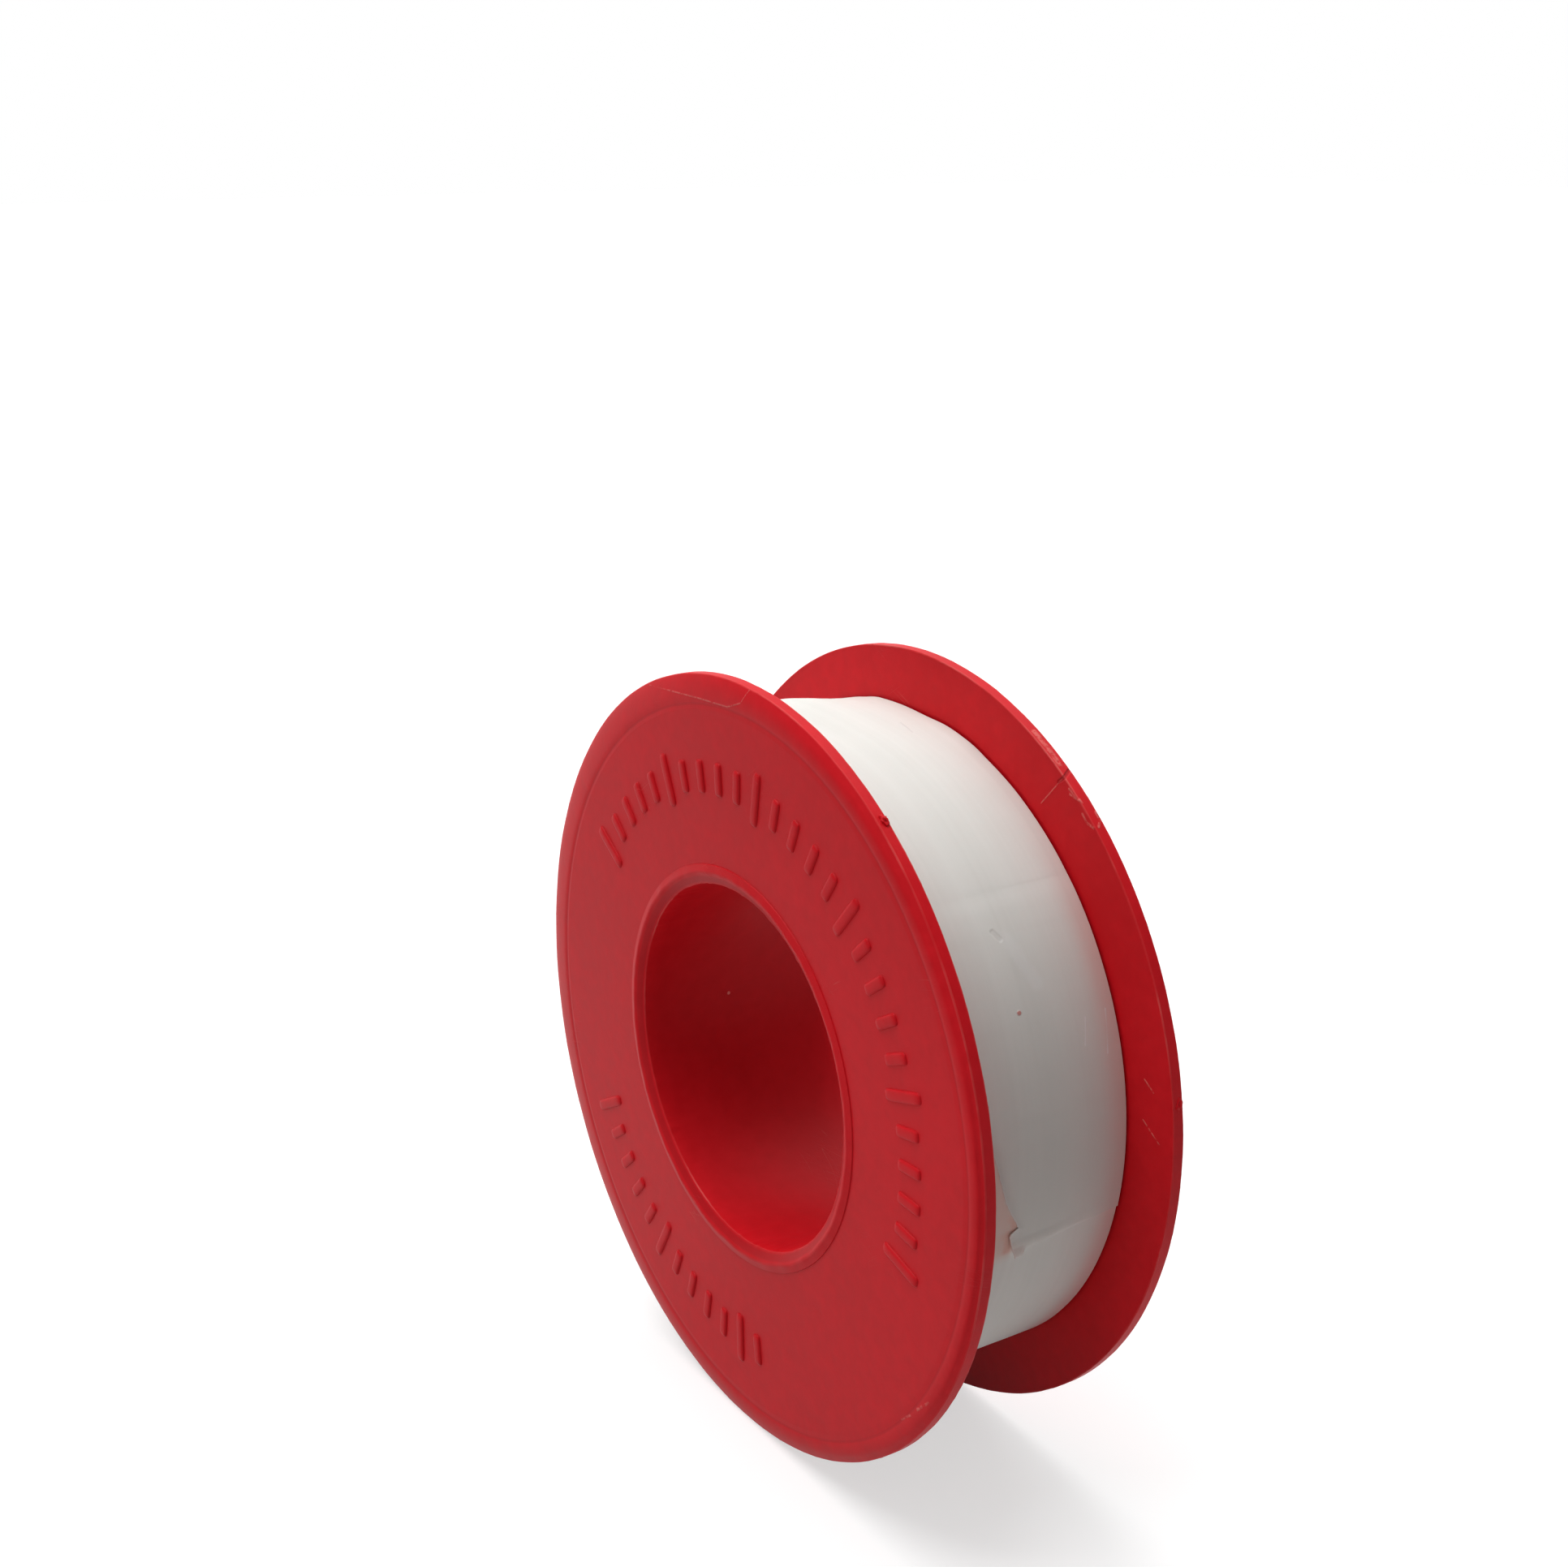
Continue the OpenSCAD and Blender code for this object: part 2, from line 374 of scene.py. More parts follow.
def white_film(name, layered=False):
    """Silky white film. layered shows the edges of many turns on the flat ends of the roll."""
    material, board, shader, place = new_finish(
        name, IOR=1.35, Specular_IOR_Level=0.3, Subsurface_Weight=0.3, Subsurface_Scale=0.0007,
        Subsurface_Radius=(1.0, 0.85, 0.8),
    )
    x, y, z = board.parts(place)
    streak = board.cloud(board.stretched(place, (26, 2600, 26)), 1.0, 3.0, 0.6)
    band = board.cloud(board.stretched(place, (18, 420, 18)), 1.0, 2.0)
    haze = board.cloud(place, 150, 3.0)
    grain = board.cloud(place, 7000, 2.0)

    milk = (0.89, 0.88, 0.82, 1)
    shade = (0.81, 0.80, 0.74, 1)
    colour = board.blend((streak * 0.3 + band * 0.4 + haze * 0.3).step(0.25, 0.75), shade, milk)
    # Painted red light: a pink edge by the far flange where the film lies in shade, fading towards the top
    # of the roll.
    shaded = 1 - (z / (ROLL * MM)).step(0.5, 0.85)
    colour = board.blend((y / MM).step(4.3, 6.2) * shaded * 0.55, colour, (0.85, 0.47, 0.42, 1))
    colour = board.blend(board.mark("blush") * 0.8, colour, (0.80, 0.37, 0.28, 1))
    colour = board.blend(board.mark("alone") * 0.5, colour, (0.70, 0.69, 0.64, 1))
    # The torn edge is painted paler: painted light over the shade along it.
    colour = board.blend(board.mark("edge") * 0.3, colour, (0.93, 0.925, 0.90, 1))
    roughness = 0.42 + streak * 0.1 + haze * 0.06
    height = streak * 0.35 + grain * 0.2 + band * 0.5
    if layered:
        radius = (x * x + z * z).worked("SQRT")
        rings = board.cloud(board.joined(radius, 0.0, 0.0), 5200, 2.0, 0.7)
        colour = board.blend(rings.step(0.35, 0.6), (0.70, 0.68, 0.66, 1), colour)
        height = rings * 3.0
    else:
        crumb = board.spot(place, around(ROLL, 25.6, -0.42), 0.2, ragged=0.16)
        smudge = board.spot(place, around(ROLL, 32.2, 0.8), 1.1) * haze.step(0.4, 0.6)
        scratch = board.line(place, around(ROLL, 86.2, 4.1), around(ROLL, 81.7, 3.8), 0.14)
        dent = board.line(place, around(ROLL, 38.4, -0.5), around(ROLL, 37.1, -0.2), 0.5)
        pale = board.strokes(place, FILM_SCRATCHES)
        # A painted sheen: a pale streak of painted highlight.
        sheen = board.line(place, around(ROLL, 37.0, 0.2), around(ROLL, 29.3, 1.3), 1.4)
        colour = board.blend(smudge * 0.25, colour, (0.62, 0.60, 0.57, 1))
        colour = board.blend(scratch * 0.4, colour, (0.66, 0.64, 0.62, 1))
        # The dent's darker tone is painted shade.
        colour = board.blend(dent * 0.2, colour, (0.60, 0.57, 0.53, 1))
        colour = board.blend(pale * 0.8 + sheen * 0.25, colour, (0.95, 0.945, 0.92, 1))
        colour = board.blend(crumb * 0.85, colour, (0.66, 0.20, 0.17, 1))
        height = height + crumb * 3.0 + pale - scratch - dent * 2.0
    finish_surface(board, shader, colour, roughness, height, 0.012)
    return material


TAPE_FILM = white_film("film_white")
LAYERS = white_film("film_layers", layered=True)
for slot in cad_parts["tape_roll"].material_slots:
    slot.material = LAYERS
print("finishes", TAPE_FILM.name, LAYERS.name)


# %% [markdown]
# ## The two mouldings
# A moulding that is round about the axle is a lathed section. The section is written as its corners,
# each with the radius that the mould gives it, and the corners become short arcs. A close point on
# each side of an arc keeps the flat faces flat when the surface is shaded smooth. The tighter a
# corner is, the paler its edge line, partly from handling and partly painted highlight, and a groove
# gets painted shade, so each point of the mesh carries its share of either.

# %% Round the corners of a section
def rounded(corners, steps=5, close=0.03):
    """corners are (radius from the axle, place along it, rounding) in mm, going round the section.
    A fourth number is the corner's pale edge mark, partly from handling and partly painted highlight,
    or below 0 painted shade. Returns points and these marks."""
    points, wear_and_painted_light = [], []
    for i, (r, y, rounding, *given) in enumerate(corners):
        here = np.array([r, y], float)
        before = np.array(corners[i - 1][:2], float) - here
        after = np.array(corners[(i + 1) % len(corners)][:2], float) - here
        room = 0.45 * min(np.linalg.norm(before), np.linalg.norm(after))
        a, b = before / np.linalg.norm(before), after / np.linalg.norm(after)
        half = math.acos(max(-1.0, min(1.0, float(a @ b)))) / 2
        if rounding <= 0 or half > math.radians(89):
            points.append(here)
            wear_and_painted_light.append(given[0] if given else 0.0)
            continue
        reach = min(rounding / math.tan(half), room)
        radius = reach * math.tan(half)
        middle = here + (a + b) / np.linalg.norm(a + b) * radius / math.sin(half)
        start, end = here + a * reach, here + b * reach
        first = math.atan2(*(start - middle)[::-1])
        sweep = (math.atan2(*(end - middle)[::-1]) - first + math.pi) % (2 * math.pi) - math.pi
        turns = first + sweep * np.linspace(0, 1, steps + 1)
        arc = [middle + radius * np.array([math.cos(turn), math.sin(turn)]) for turn in turns]
        points += [start + a * close, *arc, end + b * close]
        share = given[0] if given else max(0.0, min(1.0, 1.5 - 10 * radius))
        wear_and_painted_light += [0.0, *[share] * len(arc), 0.0]
    return np.array(points), np.array(wear_and_painted_light)


def spread(first, last, pieces):
    """Plain points between two corners, so that a long straight can be shaded and moved."""
    (r0, y0), (r1, y1) = first, last
    return [(r0 + (r1 - r0) * k / pieces, y0 + (y1 - y0) * k / pieces, 0) for k in range(1, pieces)]


def curved_edge(face):
    """The outer face of a flange, from where it starts to curve down to its corner at the rim."""
    arc_r = (EDGE_W ** 2 + EDGE_FALL ** 2) / (2 * EDGE_FALL)
    down = -math.copysign(1.0, face)
    turns = np.linspace(0, math.asin(EDGE_W / arc_r), 11)[:-1]
    band = [(RIM - EDGE_W + arc_r * math.sin(a), face + down * arc_r * (1 - math.cos(a)), 0) for a in turns]
    return band + [(RIM, face + down * EDGE_FALL, 0.1)]


# %% Turn a section round the axle
def smooth(mesh, crease=40):
    """Smooth shading that stops at edges sharper than crease, in degrees."""
    mesh.polygons.foreach_set("use_smooth", [True] * len(mesh.polygons))
    mesh.set_sharp_from_angle(angle=math.radians(crease))
    mesh.update()


def solid_mesh(name, points, faces, **marks):
    """A closed mesh from points in millimetres, its faces turned outwards. marks are point values."""
    mesh = bpy.data.meshes.new(name)
    mesh.from_pydata((np.asarray(points) * MM).tolist(), [], faces)
    for mark, values in marks.items():
        mesh.attributes.new(mark, "FLOAT", "POINT").data.foreach_set("value", np.asarray(values, np.float32))
    work = bmesh.new()
    work.from_mesh(mesh)
    bmesh.ops.remove_doubles(work, verts=work.verts, dist=1e-7)
    bmesh.ops.recalc_face_normals(work, faces=work.faces)
    work.to_mesh(mesh)
    work.free()
    smooth(mesh)
    return mesh


def show(mesh, finish):
    """Puts a mesh into the scene with its finish."""
    piece = bpy.data.objects.new(mesh.name, mesh)
    bpy.context.scene.collection.objects.link(piece)
    mesh.materials.clear()
    mesh.materials.append(finish)
    return piece


def lathed(name, section, wear_and_painted_light, rounds, shift):
    """A closed ring turned from a section. shift moves the finished points."""
    count = len(section)
    turns = np.arange(rounds) * 2 * math.pi / rounds
    ring = np.stack([np.cos(turns), np.ones(rounds), np.sin(turns)], axis=-1)[:, None, :]
    grid = section[None, :, [0, 1, 0]] * ring
    faces = []
    for i in range(rounds):
        here, there = i * count, (i + 1) % rounds * count
        for j in range(count):
            k = (j + 1) % count
            faces.append((here + j, here + k, there + k, there + j))
    return solid_mesh(name, shift(grid.reshape(-1, 3)), faces, corner=np.tile(wear_and_painted_light, rounds))


# %% [markdown]
# The rear moulding is the hub and the rear flange in one. Its section runs down the bore, out over
# the rear face to the band that curves down to the rim, in along the inner face, and forward along
# the hub to the spigot and the bead. The bead is a low ridge on the end of the hub that slopes down
# into the bore. It was squeezed through the front flange, so its crest and its edge at the bore
# aren't quite even. The bore, the bead's slope and its foot are painted darker as painted shade.

# %% The small faults of a moulding
def ramp(x, low, high):
    """0 below low, 1 above high, with a smooth ramp between them."""
    t = min(1.0, max(0.0, (x - low) / (high - low)))
    return t * t * (3 - 2 * t)


def uneven(points):
    """Moves the points a little: rims that aren't quite true, a band that is wider on one side, an
    uneven crest and a ragged edge of the bore."""
    moved = points.copy()
    for i, (x, y, z) in enumerate(points):
        r = math.hypot(x, z)
        way = Vector((x / r, 0, z / r))
        out, back = 0.0, 0.0
        if r > RIM - 0.6:
            out = 0.03 * noise.noise(way * 9 + Vector((0, y * 0.8, 0)))
            out += 0.03 * max(0.0, noise.noise(way * 60 + Vector((5, y * 3, 0))))
            out = min(out, RIM - r)
        if r < BEAD_FOOT and y < -FRONT - 0.08:
            out = 0.06 * noise.noise(way * 7)
            back = 0.03 * (1 + noise.noise(way * 11 + Vector((3, 0, 0))))
        if r < BORE + 0.08 and y < -FRONT + LIP_FALL + 0.1:
            out = 0.02 - 0.07 * max(0.0, noise.noise(way * 25)) - 0.03 * noise.noise(way * 6)
        aside = 0.65 * (1 - ramp(abs(r - RIM + EDGE_W), 0.3, EDGE_W)) if y < -FRONT + EDGE_FALL else 0.0
        moved[i] += (way.x * out + aside, back, way.z * out)
    return moved


# %% The rear moulding
# A fourth number below 0 is painted shade: at the bead's foot, on its slope into the bore and down the bore.
rear_corners = (
    [(BEAD_FOOT, -FRONT, 0, -1), (BEAD_FOOT - 0.03, -FRONT - 0.07, 0)]
    + [(BORE + 0.8, -BEAD + 0.005, 0.35), (BORE + 0.5, -FRONT - 0.07, 0, -0.8)]
    + [(BORE + 0.2, -FRONT + 0.1, 0, -0.9), (BORE, -FRONT + LIP_FALL, 0.08)]
    + [(r, y, 0, -0.5) for r, y, _ in spread((BORE, -FRONT + LIP_FALL), (BORE, REAR), 12)]
    + [(BORE, REAR, 0.3)]
    + spread((BORE, REAR), (RIM - EDGE_W, REAR), 5)
    + curved_edge(REAR)
    + [(RIM, INNER, 0.07)]
    + spread((RIM, INNER), (HUB, INNER), 5)
    + [(HUB, INNER, 0.1), (HUB, -INNER, 0.05), (SPIGOT, -INNER, 0.05), (SPIGOT, -FRONT, 0)]
)
rear_piece = show(lathed("rear_moulding", *rounded(rear_corners), ROUNDS, uneven), SPOOL)
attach(rear_piece, "spool")
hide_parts("spool_hub")
print("rear moulding", len(rear_piece.data.polygons), "faces")

# %% [markdown]
# The front flange is a flat ring with the same curved band, and a faint groove where the band starts.
# It sits on the hub's shoulder, under the bead. Its section is closed too, with the lead-in chamfer at
# the back of its hole.

# %% The front flange
# The groove's fourth number, below 0, is painted shade in the groove.
front_corners = (
    [(SPIGOT + 0.28, -INNER, 0.03), (RIM, -INNER, 0.07)]
    + curved_edge(-FRONT)[::-1]
    + [(GROOVE, -FRONT + 0.03, 0.7, -0.4), (GROOVE - 0.35, -FRONT, 0.6)]
    + spread((GROOVE - 0.35, -FRONT), (SPIGOT + 0.03, -FRONT), 8)
    + [(SPIGOT + 0.03, -FRONT, 0), (SPIGOT + 0.03, -INNER - 0.25, 0.03)]
)
front_piece = show(lathed("front_flange_ring", *rounded(front_corners), ROUNDS, uneven), FLANGE)
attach(front_piece, "spool")
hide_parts("front_flange")
print("front flange", len(front_piece.data.polygons), "faces")


# %% [markdown]
# ## Raised marks on the front flange
# Such flanges carry raised marks in the mould between the bead and the rim. Here they are plain bars,
# a long one before every four short ones, in a long arc over the top and a short one below. They
# repeat along a path, so Geometry Nodes make them: points on an arc, one soft bar on each point, a
# size for each bar from its number, and Realize Instances at the end. Their feet carry painted shade.

# %% A Geometry Nodes tree with named inputs
class Recipe(Board):
    """A Geometry Nodes tree whose sizes are named inputs."""

    def __init__(self, name, sizes):
        super().__init__(bpy.data.node_groups.new(name, "GeometryNodeTree"))
        self.sizes = sizes
        self.keys = {}
        self.tree.interface.new_socket("Geometry", in_out="OUTPUT", socket_type="NodeSocketGeometry")
        for label, size in sizes.items():
            kind = "NodeSocketInt" if isinstance(size, int) else "NodeSocketFloat"
            entry = self.tree.interface.new_socket(label, in_out="INPUT", socket_type=kind)
            self.keys[label] = entry.identifier
        self.given = self.add("NodeGroupInput")

    def size(self, label):
        """A named input as a number to do sums with."""
        return Value(self, self.given.outputs[label])

    def ends(self, geometry, finish):
        """Realizes, sets the finish and gives the geometry out."""
        plain = self.add("GeometryNodeRealizeInstances", None, {"Geometry": geometry}).outputs[0]
        inputs = {"Geometry": plain, "Material": finish}
        dressed = self.add("GeometryNodeSetMaterial", None, inputs).outputs[0]
        self.add("NodeGroupOutput", None, [dressed])

    def made(self, name, sizes=None, after=None):
        """The tree's result as a plain mesh. after adds modifiers that finish it."""
        host = bpy.data.objects.new(name + "_host", bpy.data.meshes.new(name + "_host"))
        bpy.context.scene.collection.objects.link(host)
        modifier = host.modifiers.new("recipe", "NODES")
        modifier.node_group = self.tree
        for label, size in {**self.sizes, **(sizes or {})}.items():
            modifier[self.keys[label]] = size
        if after:
            after(host)
        bpy.context.view_layer.update()
        graph = bpy.context.evaluated_depsgraph_get()
        mesh = bpy.data.meshes.new_from_object(host.evaluated_get(graph))
        mesh.name = name
        bpy.data.objects.remove(host)
        smooth(mesh)
        return mesh


# %% Soft bars along an arc
bars = Recipe("bars_on_an_arc", {
    "Bars": 26, "First angle": 147.0, "Last angle": -16.0, "Radius": 19.0, "Long": 3.6, "Short": 2.2,
    "Width": 0.8, "Thickness": 0.7, "Rise": 0.16,
})
order = bars.value("GeometryNodeInputIndex")
sweep = bars.size("Last angle") - bars.size("First angle")
turn = (bars.size("First angle") + sweep * order / (bars.size("Bars") - 1)) * (math.pi / 180)
is_long = 1 - order.worked("MODULO", 5.0).worked("MINIMUM", 1.0)
length = bars.size("Short") + (bars.size("Long") - bars.size("Short")) * is_long
place = bars.joined(
    bars.size("Radius") * turn.worked("COSINE") * MM,
    (bars.size("Thickness") / 2 - bars.size("Rise") - FRONT) * MM,
    bars.size("Radius") * turn.worked("SINE") * MM,
)
points = bars.add("GeometryNodePoints", None, {"Count": bars.size("Bars"), "Position": place}).outputs[0]
block = bars.add("GeometryNodeMeshCube", None, {
    "Size": (1.0, 1.0, 1.0), "Vertices X": 5, "Vertices Y": 3, "Vertices Z": 3,
}).outputs["Mesh"]
soft = bars.add("GeometryNodeSubdivisionSurface", None, {"Mesh": block, "Level": 2}).outputs[0]
bar_size = bars.joined(length * MM, bars.size("Width") * MM, bars.size("Thickness") * MM)
placed = bars.add("GeometryNodeInstanceOnPoints", None, {
    "Points": points, "Instance": soft, "Rotation": bars.joined(math.pi / 2, -turn, 0.0), "Scale": bar_size,
}).outputs[0]
bars.ends(placed, FLANGE)

for name, sizes in {
    "raised_bars_upper": {},
    "raised_bars_lower": {"Bars": 12, "First angle": -151.0, "Last angle": -82.0, "Radius": 19.4},
}.items():
    marks_piece = show(bars.made(name, sizes), FLANGE)
    # Painted shade on the feet of the bars, as a corner value below 0.
    foot_shade = [-0.8 * (1 - ramp(-FRONT - v.co.y / MM, 0.02, 0.15)) for v in marks_piece.data.vertices]
    marks_piece.data.attributes.new("corner", "FLOAT", "POINT").data.foreach_set("value", foot_shade)
    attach(marks_piece, "spool")
    print(name, len(marks_piece.data.polygons), "faces")

# %% [markdown]
# ## The last turn of the film
# All the film but its last turn is a plain wound core, and its solid is right as it is. The last turn
# is what shows. It is a spiral that sinks by one thickness in a turn and runs in under its own
# start, so a rule gives its shape: a flat grid whose one side becomes the angle round the axle. Its
# edges wander a little, and away from the free end they stand off the roll in places, as the edges
# of loosely wound film do. Over the top and towards the back the whole turn is slack and bows off the
# roll by up to 1.3 mm. A Solidify modifier then gives the sheet its thickness.

# %% The last turn as a bent grid
wrap = Recipe("film_round_a_roll", {
    "Radius": ROLL, "Film": FILM, "Width": TAPE - 2 * ROOM, "Start": TAIL_FROM, "Along": 900,
    "Across": 40, "Wander": 0.2, "Edge lift": 0.11, "Wave": 0.02, "Slack": 1.3,
})
sheet = wrap.add("GeometryNodeMeshGrid", None, {
    "Size X": 1.0, "Size Y": 1.0, "Vertices X": wrap.size("Along"), "Vertices Y": wrap.size("Across"),
}).outputs["Mesh"]
flat = wrap.parts(wrap.add("GeometryNodeInputPosition").outputs[0])
along, across = flat[0] + 0.5, flat[1] * -2
degrees = along * 360 + wrap.size("Start")
turn = degrees * (math.pi / 180)
circle = wrap.joined(turn.worked("COSINE"), across * 0.4, turn.worked("SINE"))
open_part = along.step(0.0, 0.03) * (1 - along.step(0.76, 0.82))  # all but what the free end covers
edge_only = abs(across).step(0.72, 1.0) * open_part
wander = (wrap.cloud(circle, 5.0, 3.0) - 0.5) * wrap.size("Wander") * edge_only
lift = wrap.cloud(circle, 4.0, 1.0).step(0.5, 0.75) * wrap.size("Edge lift") * edge_only
wave = (wrap.cloud(circle, 3.0, 2.0) - 0.5) * wrap.size("Wave") * 2 * open_part
loose = degrees.step(85.0, 115.0) * (1 - degrees.step(135.0, 180.0)) * (1 - across.step(0.1, 1.0) * 0.55)
loose = loose * (0.9 + wrap.cloud(circle, 9.0, 1.0) * 0.2)
radius = wrap.size("Radius") - wrap.size("Film") * along + lift + wave + loose * wrap.size("Slack")
side = across * wrap.size("Width") / 2 + wander
bent = wrap.joined(radius * turn.worked("COSINE") * MM, side * MM, radius * turn.worked("SINE") * MM)
moved = wrap.add("GeometryNodeSetPosition", None, {"Geometry": sheet, "Position": bent}).outputs[0]
wrap.ends(moved, TAPE_FILM)


def thicken(host):
    """Gives the film its thickness, towards the axle, a hair less than full, so that the start of
    the turn stays clear of the end that runs in under it."""
    solid = host.modifiers.new("film", "SOLIDIFY")
    solid.thickness = FILM * MM * 0.96
    solid.offset = -1.0
    solid.use_even_offset = False


wrap_mesh = wrap.made("last_turn", after=thicken)
wrap_piece = show(wrap_mesh, TAPE_FILM)
radii = [math.hypot(v.co.x, v.co.z) / MM for v in wrap_piece.data.vertices]
print(f"last turn from {min(radii):.3f} to {max(radii):.3f} mm from the axle")


# %% [markdown]
# ## The free end
# The free end is the same film, and the model has four hinges along it. A piece can bend between two
# bodies only, so the film is cut half way along each stretch. The first four parts stay where they
# are made, and the last one rides on the tip. All of them come from one rule for a point of the
# film, so there is no step between them.
#
# The front edge tells how the film was torn off: it narrows along a slant, has a notch and ends in a
# small ear. The film thins out towards the slant, where it was stretched. The cut end lies nearly
# flat but for the ear, which curls up and catches the light. Towards its end the film is a single
# layer with air under it, so it lets some light through and looks a little greyer than the roll.

# %% Where a point of the free end lies
# Corners of the front edge: how far along the free end, and how far in from the edge of the film,
# both as shares
EDGE_SHARES = [
    (0.0, 0.0), (0.34, 0.0), (0.45, 0.03), (0.55, 0.09), (0.697, 0.23), (0.753, 0.253), (0.834, 0.295),
    (0.926, 0.385), (0.937, 0.3425), (0.947, 0.337), (0.981, 0.3535), (1.0, 0.352),
]


def front_edge(share):
    """Where the front edge of the free end lies along the axle, at a share of its length."""
    inset = float(np.interp(share, *zip(*EDGE_SHARES)))
    ragged = 0.004 * noise.noise(Vector((share * 60, 3.1, 0))) * ramp(share, 0.34, 0.5)
    return ROOM - TAPE / 2 + TAPE * (inset + ragged)


def film_point(share, across, skin):
    """share runs along the free end, across from its front edge to its rear edge, skin 0 is the
    inner skin and 1 the outer. Returns a point in millimetres."""
    front = front_edge(share)
    y = front + (TAPE / 2 - ROOM - front) * across
    reach = TAIL_ARC + 0.1 - 0.24 * max(0.0, y + 1.0)
    away = y - front
    corner = (1 - ramp(away, 0.0, 1.7)) * ramp(share, 0.94, 1.0)
    curl = (1 - ramp(away, 0.6, 1.1)) * ramp(share, 0.983, 1.0)
    ear_edge = (1 - ramp(away, 0.0, 0.4)) * ramp(share, 0.925, 0.94)
    slack = ramp(share, 0.96, 1.0) * (1 - 0.95 * ramp(y, 0.0, 4.5))
    lift = 0.10 * corner + 0.32 * curl + 0.06 * ear_edge + 0.15 * slack
    lift += 0.025 * ramp(share, 0.0, 0.06)
    lift += 0.01 * noise.noise(Vector((share * 7, y * 0.35, 1.7))) * ramp(share, 0.05, 0.2)
    thin = 0.8 * (1 - ramp(away, 0.0, 0.8)) * ramp(share, 0.34, 0.42) * (1 - ramp(share, 0.9, 0.94))
    return around(ROLL + lift - FILM + FILM * (1 - thin) * skin, TAIL_FROM - reach * share, y)


print(f"free end {TAPE / 2 - ROOM - front_edge(1.0):.1f} mm wide at the cut")


# %% A stretch of film as a closed strip
def film_strip(name, first, last, across_count=44, row_share=0.006):
    """The film between two shares of its length, closed all round. Its rows lie row_share apart, and
    closer at the cut end. Its columns lie closer at the torn edge."""
    shares = set(np.linspace(first, last, int((last - first) / row_share)))
    shares |= {s for s, _ in EDGE_SHARES if first < s < last}
    if last == 1.0:
        shares |= set(np.linspace(0.9, 1.0, 50))
    shares = sorted(shares)
    ends = np.linspace(0, 1, across_count)
    ends = ends ** 1.35 if last > 0.5 else ends
    rows, cols = len(shares), across_count
    points = [film_point(s, a, skin) for skin in (1, 0) for s in shares for a in ends]

    def at(skin, i, j):
        return (0 if skin else rows * cols) + i * cols + j

    faces = []
    for i in range(rows - 1):
        for j in range(cols - 1):
            faces.append((at(1, i, j), at(1, i, j + 1), at(1, i + 1, j + 1), at(1, i + 1, j)))
            faces.append((at(0, i, j), at(0, i + 1, j), at(0, i + 1, j + 1), at(0, i, j + 1)))
    for i in range(rows - 1):
        for j in (0, cols - 1):
            faces.append((at(1, i, j), at(1, i + 1, j), at(0, i + 1, j), at(0, i, j)))
    for j in range(cols - 1):
        for i in (0, rows - 1):
            faces.append((at(1, i, j), at(1, i, j + 1), at(0, i, j + 1), at(0, i, j)))
    # A pale line along the torn edge: painted light over the shade that falls along it.
    torn = [1.0 - ramp(a * TAPE, 0.0, 0.25) if s > 0.36 else 0.0 for s in shares for a in ends]
    alone = [ramp(s, 0.0, 0.95) * (1 - ramp(s, 0.965, 0.99) * (1 - a)) for s in shares for a in ends]
    return solid_mesh(name, points, faces, edge=torn * 2, alone=alone * 2)


# %% Cut the free end half way between its hinges
def on_film(share):
    """A point of the middle of the film, in metres, at a share of the free end's length."""
    return tuple(MM * c for c in around(ROLL, TAIL_FROM - TAIL_ARC * share, 0.0))


bodies = ["spool", "free_end_root", "free_end_upper", "free_end_lower", "free_end_tip"]
nodes = ["tail_root", "tail_upper", "tail_lower", "tail_tip"]
cuts = [0.0] + [(k + 0.5) / LINKS for k in range(LINKS)] + [1.0]
for k, (first, last) in enumerate(zip(cuts, cuts[1:])):
    strip = show(film_strip(f"free_end_{k + 1}", first, last), TAPE_FILM)
    if k < LINKS:
        start = on_film(first + (0.0 if k == 0 else 0.03))
        bodies[k + 1]
        on_film(last - 0.01)
        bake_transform(strip)
        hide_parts(nodes[k])
    else:
        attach(strip, bodies[k])
    print(strip.name, "from", round(first, 3), "to", round(last, 3), len(strip.data.polygons), "faces")

# %% [markdown]
# Under the torn edge of the free end the last turn looks pink: it is in the shade there, and most of
# the light that it gets comes off the red flange. The mesh carries that blush as a point value. It
# is strongest at the notch and beside the ear.

# %% Blush of the last turn beside the torn edge
blush = wrap_mesh.attributes.new("blush", "FLOAT", "POINT")
tints = []
for v in wrap_mesh.vertices:
    at, side_mm = math.degrees(math.atan2(v.co.z, v.co.x)), v.co.y / MM
    before = front_edge((TAIL_FROM - at) / TAIL_ARC) - side_mm
    wedge = ramp(at, -16.0, -12.0) * (1 - ramp(at, 0.0, 12.0)) * (1 - 0.5 * ramp(before, 0.5, 3.0))
    notch = ramp(at, -14.5, -13.0) * (1 - ramp(at, -8.5, -2.0)) * (1 - ramp(before, 0.15, 1.1))
    tints.append(max(0.65 * wedge, notch) * ramp(before, -0.4, 0.0))
blush.data.foreach_set("value", tints)
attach(wrap_piece, "spool")
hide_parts("outer_turn")
print("blush up to", round(max(tints), 2))


# %% [markdown]
# ## Gate marks
# Plastic enters each flange's mould at one point of the rim, and breaking it off leaves a rough stub.
# A ball, pushed about by noise and sunk into the rim's inner edge, is enough for each.

